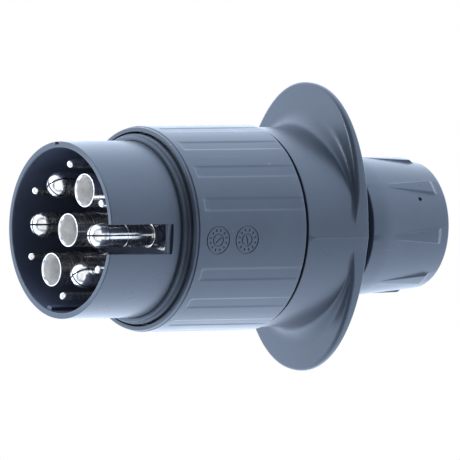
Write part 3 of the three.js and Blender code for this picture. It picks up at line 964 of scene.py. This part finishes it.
# A large contact has a collar in front of the carrier, a shank through it and a wire barrel behind it.
COLLAR_SPAN = (20.2, 21.2)
COLLAR_R = 3.8
SHANK_R = 2.4
WIRE_BARREL_SPAN = (37.3, 46)
WIRE_BARREL_R = 3
WIRE_BORE_END = 40
WIRE_BORE_R = 1.6
SHANK = [
    (COLLAR_SPAN[1], COLLAR_R, 0.15),
    (COLLAR_SPAN[1], SHANK_R, 0.1),
    (WIRE_BARREL_SPAN[0], SHANK_R, 0.1),
    (WIRE_BARREL_SPAN[0], WIRE_BARREL_R, 0.2),
    (WIRE_BARREL_SPAN[1], WIRE_BARREL_R, 0.3),
    (WIRE_BARREL_SPAN[1], WIRE_BORE_R, 0.2),
    (WIRE_BORE_END, WIRE_BORE_R, 0.3),
    (WIRE_BORE_END - 0.6, 0, 0),
]

PIN_HEAD_R = 2.95
PIN_SHAFT_R = 2.66
PIN_SPLIT_END = 15.7
PIN_WAIST_SPAN = (15.75, 16.1)
PIN_WAIST_R = 2.35
PIN_BASE_START = 16.2
PIN_SPLIT_HALF = 0.2
PIN_SPLIT_REACH = 5
PIN_RING = (8.9, 8.95, 9.15, 9.2)
PIN_RING_DEPTH = 0.12

TUBE_BORE_END = 19
TUBE_BORE_R = 3.2
TUBE_MOUTH_BORE_R = 3.32
TUBE_MOUTH_R = 3.55

SMALL_PIN_R = 1
SMALL_COLLAR_R = 1.5
SMALL_CUP_R = 1.4

# A terminal screw, measured outwards from the contact's axis
SCREW_TIP = 0.3
SCREW_TIP_R = 0.9
SCREW_ROOT_R = 1.02
SCREW_CREST_R = 1.2
SCREW_THREAD_START = 0.7
SCREW_THREAD_STEP = 0.2
SCREW_THREAD_ROWS = 12
SCREW_HOLE_LENGTH = 5
SCREW_HOLE_R = 1.3
SCREW_HEAD_SPAN = (3.3, 4.6)
SCREW_HEAD_R = 1.9
SCREW_SLOT_SPAN = (4.0, 6)
SCREW_SLOT_HALF = 0.25


def contact_carrier():
    start, end = span("contact_carrier")
    outer = radius("contact_carrier")
    section = rounded([(start, 0, 0), (start, outer, 0.3), (end, outer, 0.3), (end, 0, 0)], closed=False)
    carrier = turned("contact_block", section, False)
    front = start - OVERCUT
    back = end + OVERCUT
    drills = []
    for nodes, drill_r, steps in ((LARGE, LARGE_DRILL_R, SCREW_STEPS), (SMALL, SMALL_DRILL_R, HOLE_STEPS)):
        drill = [(front, 0), (front, drill_r), (back, drill_r), (back, 0)]
        drills += [turned("drill", drill, False, steps, middle(node)) for node in nodes]
    cut(carrier, drills)
    soften(carrier, 0.12)
    smooth(carrier)
    # The carrier takes the lighter copy of the plastic: painted light deep inside the nose.
    return place(carrier, "contact_carrier", PAINTED_LIGHT_INNER_PLASTIC)


def aim_at_screw(piece, number):
    """Turns a piece made along +X to point from the axis of a large contact along its terminal screw."""
    centre = middle(LARGE[number - 1])
    low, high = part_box(f"terminal_screw_{number}")
    out = Vector(((low.y + high.y) / 2 / MM - centre[0], (low.z + high.z) / 2 / MM - centre[1]))
    angle = math.degrees(math.atan2(out.y, -out.x))
    piece.data.transform(Matrix.Rotation(math.radians(-90), 4, "Z"))
    piece.data.transform(Matrix.Rotation(-math.radians(angle), 4, "X"))
    piece.data.transform(Matrix.Translation(Vector(((low.x + high.x) / 2, centre[0] * MM, centre[1] * MM))))


def side_hole(node, piece):
    """Cuts the terminal screw's hole from the wire bore out through the barrel, towards its screw."""
    outline = [(0, 0), (0, SCREW_HOLE_R), (SCREW_HOLE_LENGTH, SCREW_HOLE_R), (SCREW_HOLE_LENGTH, 0)]
    hole = turned("hole", outline, False, HOLE_STEPS)
    aim_at_screw(hole, LARGE.index(node) + 1)
    cut(piece, [hole])


def dome(tip, r, step):
    """A half-round tip as (x, r) points, one every step degrees."""
    turns = [math.radians(degrees) for degrees in range(0, 91, step)]
    return [(tip + r - r * math.cos(turn), r * math.sin(turn)) for turn in turns]


def split_pin(node):
    tip, _ = span(node)
    centre = middle(node)
    ring_r = PIN_SHAFT_R - PIN_RING_DEPTH
    body = rounded([
        (tip + PIN_HEAD_R + 0.05, PIN_HEAD_R, 0),
        (tip + PIN_HEAD_R + 0.55, PIN_HEAD_R, 0.25),
        (tip + PIN_HEAD_R + 0.95, PIN_SHAFT_R, 0.25),
        (PIN_RING[0], PIN_SHAFT_R, 0.05),
        (PIN_RING[1], ring_r, 0),
        (PIN_RING[2], ring_r, 0),
        (PIN_RING[3], PIN_SHAFT_R, 0.05),
        (PIN_SPLIT_END, PIN_SHAFT_R, 0.12),
        (PIN_WAIST_SPAN[0], PIN_WAIST_R, 0.05),
        (PIN_WAIST_SPAN[1], PIN_WAIST_R, 0.05),
        (PIN_BASE_START, PIN_HEAD_R, 0.1),
        (COLLAR_SPAN[0], PIN_HEAD_R, 0.1),
        (COLLAR_SPAN[0], COLLAR_R, 0.3),
    ] + SHANK, closed=False)
    pin = turned(node + "_turned", dome(tip, PIN_HEAD_R, 6) + body, False, PIN_STEPS, centre)
    low = (tip - OVERCUT, -PIN_SPLIT_REACH, -PIN_SPLIT_HALF)
    high = (PIN_SPLIT_END, PIN_SPLIT_REACH, PIN_SPLIT_HALF)
    cut(pin, [block("slot", low, high, SPLIT_TURNS[node] + turn, centre) for turn in (0, 90)])
    side_hole(node, pin)
    soften(pin, 0.06)
    smooth(pin)
    return place(pin, node, NICKEL)


def socket_tube(node):
    centre = middle(node)
    mouth, _ = span(node)
    section = rounded([
        (TUBE_BORE_END + 0.6, 0, 0),
        (TUBE_BORE_END, TUBE_BORE_R, 0.3),
        (mouth + 0.35, TUBE_MOUTH_BORE_R, 0.1),
        (mouth, TUBE_MOUTH_R, 0.06),
        (mouth, COLLAR_R, 0.12),
        (COLLAR_SPAN[0], COLLAR_R, 0.1),
    ] + SHANK[1:], closed=False)
    tube = turned(node + "_turned", section, False, PIN_STEPS, centre)
    side_hole(node, tube)
    soften(tube, 0.06)
    smooth(tube)
    place(tube, node, NICKEL)
    # The faces inside the bore take the paler nickel: painted light in the bore.
    tube.data.materials.append(BORE_NICKEL_PAINTED_LIGHT)
    for face in tube.data.polygons:
        at = face.center / MM
        off_axis = math.hypot(at.y - centre[0], at.z - centre[1])
        if mouth + 0.5 < at.x < TUBE_BORE_END + 0.8 and off_axis < TUBE_BORE_R + 0.25:
            face.material_index = 1
    return tube


def small_pin(node):
    tip, end = span(node)
    collar_start, collar_end = COLLAR_SPAN
    section = dome(tip, SMALL_PIN_R, 10) + rounded([
        (tip + 1.1, SMALL_PIN_R, 0),
        (collar_start, SMALL_PIN_R, 0.1),
        (collar_start, SMALL_COLLAR_R, 0.15),
        (collar_end, SMALL_COLLAR_R, 0.15),
        (collar_end, SMALL_PIN_R, 0.1),
        (WIRE_BARREL_SPAN[0], SMALL_PIN_R, 0.1),
        (WIRE_BARREL_SPAN[0], SMALL_CUP_R, 0.15),
        (end, SMALL_CUP_R, 0.15),
        (end, SMALL_PIN_R, 0.1),
        (end - 3, SMALL_PIN_R, 0.2),
        (end - 3.3, 0, 0),
    ], closed=False)
    pin = turned(node + "_turned", section, False, SCREW_STEPS, middle(node))
    smooth(pin)
    return place(pin, node, NICKEL)


def terminal_screw(number):
    head_start, head_end = SCREW_HEAD_SPAN
    slot_start, slot_end = SCREW_SLOT_SPAN
    outline = [(SCREW_TIP, 0), (SCREW_TIP, SCREW_TIP_R), (0.6, SCREW_CREST_R)]
    for k in range(SCREW_THREAD_ROWS):
        x = SCREW_THREAD_START + SCREW_THREAD_STEP * k
        outline.append((x, SCREW_CREST_R if k % 2 else SCREW_ROOT_R))
    outline += rounded([
        (3.2, SCREW_ROOT_R, 0),
        (head_start, SCREW_HEAD_R, 0.1),
        (head_end, SCREW_HEAD_R, 0.3),
        (head_end, 0, 0),
    ], closed=False)
    screw = turned(f"screw_{number}", outline, False, SCREW_STEPS)
    cut(screw, [block("slot", (slot_start, -3, -SCREW_SLOT_HALF), (slot_end, 3, SCREW_SLOT_HALF))])
    soften(screw, 0.05)
    aim_at_screw(screw, number)
    smooth(screw)
    return place(screw, f"terminal_screw_{number}", ZINC)


# ----------------------------------------------------------------------------------------------- the studio


# The view: its right and up directions, the point it is centred on along them, and how much it takes in there
VIEW_RIGHT = Vector((0.80919, -0.58487, 0.05594))
VIEW_UP = Vector((0.01276, 0.11267, 0.99356))
VIEW_AIM = (38.22, 0.04)
VIEW_WIDTH = 103.5
LENS = 1500
SENSOR = 36


def camera():
    """A very long lens a few metres away, because the view has hardly any perspective."""
    data = bpy.data.cameras.new("camera")
    data.lens = LENS
    data.sensor_width = SENSOR
    data.clip_start = 0.1
    data.clip_end = 60
    obj = bpy.data.objects.new("camera", data)
    bpy.context.scene.collection.objects.link(obj)
    right = VIEW_RIGHT.normalized()
    back = right.cross(VIEW_UP).normalized()
    up = back.cross(right)
    aim = (right * VIEW_AIM[0] + up * VIEW_AIM[1]) * MM
    distance = VIEW_WIDTH * MM * LENS / SENSOR
    turn = Matrix((right, up, back)).transposed().to_4x4()
    obj.matrix_world = Matrix.Translation(aim + back * distance) @ turn
    bpy.context.scene.camera = obj


PLUG_MIDDLE = Vector((45, 0, 0))


def soft_light(name, where, size, power):
    """A square light at a place in millimetres, facing the plug. Its size is in metres, power in watts."""
    data = bpy.data.lights.new(name, "AREA")
    data.energy = power
    data.size = size
    obj = bpy.data.objects.new(name, data)
    bpy.context.scene.collection.objects.link(obj)
    obj.location = where * MM
    obj.rotation_euler = (PLUG_MIDDLE * MM - obj.location).to_track_quat("-Z", "Y").to_euler()
    return obj


# The tent's opening faces the camera's side. A level is (how far a direction turns to that side, brightness).
DARK_SIDE = Vector((-0.5874, -0.8033, 0.0986))
TENT_LEVELS = [(0.0, 1.0), (0.1, 1.0), (0.4, 0.45), (0.58, 0.1), (1.0, 0.08)]
TENT_TINT = (0.72, 0.83, 1.0)
TENT_STRENGTH = 2.9

RIM_LIGHT_AT = Vector((-344, 172, 108))
PANEL_DISTANCE = 700
FLOOR_SIZE = 6
FLOOR_GAP = 0.05


def white_tent():
    """A white tent with a dark opening on one side. Seen directly, it is plain white."""
    world = bpy.data.worlds.new("tent")
    bpy.context.scene.world = world
    world.use_nodes = True
    nodes = world.node_tree.nodes
    link = world.node_tree.links.new
    where = nodes.new("ShaderNodeTexCoord")
    facing = nodes.new("ShaderNodeVectorMath")
    facing.operation = "DOT_PRODUCT"
    facing.inputs[1].default_value = DARK_SIDE.normalized()
    link(where.outputs["Generated"], facing.inputs[0])
    shade = nodes.new("ShaderNodeValToRGB")
    while len(shade.color_ramp.elements) < len(TENT_LEVELS):
        shade.color_ramp.elements.new(0.5)
    for element, (position, level) in zip(shade.color_ramp.elements, TENT_LEVELS):
        element.position = position
        element.color = (*[level * c for c in TENT_TINT], 1)
    link(facing.outputs["Value"], shade.inputs["Fac"])
    lit = nodes["Background"]
    lit.inputs["Strength"].default_value = TENT_STRENGTH
    link(shade.outputs["Color"], lit.inputs["Color"])
    plain = nodes.new("ShaderNodeBackground")
    plain.inputs["Color"].default_value = (1, 1, 1, 1)
    rays = nodes.new("ShaderNodeLightPath")
    choose = nodes.new("ShaderNodeMixShader")
    link(rays.outputs["Is Camera Ray"], choose.inputs["Fac"])
    link(lit.outputs["Background"], choose.inputs[1])
    link(plain.outputs["Background"], choose.inputs[2])
    link(choose.outputs["Shader"], nodes["World Output"].inputs["Surface"])


def metal_panel(pieces):
    """A wide pale panel on the camera's side that lights the bare metal only."""
    panel = soft_light("metal_panel", DARK_SIDE.normalized() * PANEL_DISTANCE + PLUG_MIDDLE, 1.5, 8)
    panel.visible_camera = False
    metal = bpy.data.collections.new("bare_metal")
    for piece in pieces:
        metal.objects.link(piece)
    panel.light_linking.receiver_collection = metal


def pale_floor():
    """A plain white floor under the plug. It is seen directly and throws no light back."""
    bm = bmesh.new()
    bmesh.ops.create_grid(bm, size=FLOOR_SIZE / 2)
    mesh = bpy.data.meshes.new("floor")
    bm.to_mesh(mesh)
    bm.free()
    floor = mesh_object("floor", mesh)
    floor.location.z = CAD_BOX[0].z - FLOOR_GAP * MM
    material = bpy.data.materials.new("pale_floor")
    material.use_nodes = True
    shader = material.node_tree.nodes["Principled BSDF"]
    shader.inputs["Base Color"].default_value = (0, 0, 0, 1)
    shader.inputs["Specular IOR Level"].default_value = 0
    shader.inputs["Emission Color"].default_value = (1, 1, 1, 1)
    shader.inputs["Emission Strength"].default_value = 1
    mesh.materials.append(material)
    floor.visible_diffuse = False
    floor.visible_glossy = False
    floor.visible_shadow = False


def studio():
    """The tent, the floor, one small light beyond the far side of the nose, and plain colours."""
    white_tent()
    pale_floor()
    soft_light("rim_light", RIM_LIGHT_AT, 0.12, 0.45)
    bpy.context.scene.view_settings.view_transform = "Standard"
    bpy.context.scene.view_settings.look = "None"


camera()
studio()
front_shroud()
nose_seal_ring()
union_sleeve()
rear_housing()
gland_nut()
slip_washer()
cable_grommet()
housing_o_ring()
carrier_lock_ring()
contact_carrier()
contacts = [split_pin(contact) for contact in LARGE[:4]]
contacts += [socket_tube(contact) for contact in LARGE[4:]]
contacts += [small_pin(contact) for contact in SMALL]
metal_panel(contacts)
for number in range(1, len(LARGE) + 1):
    terminal_screw(number)
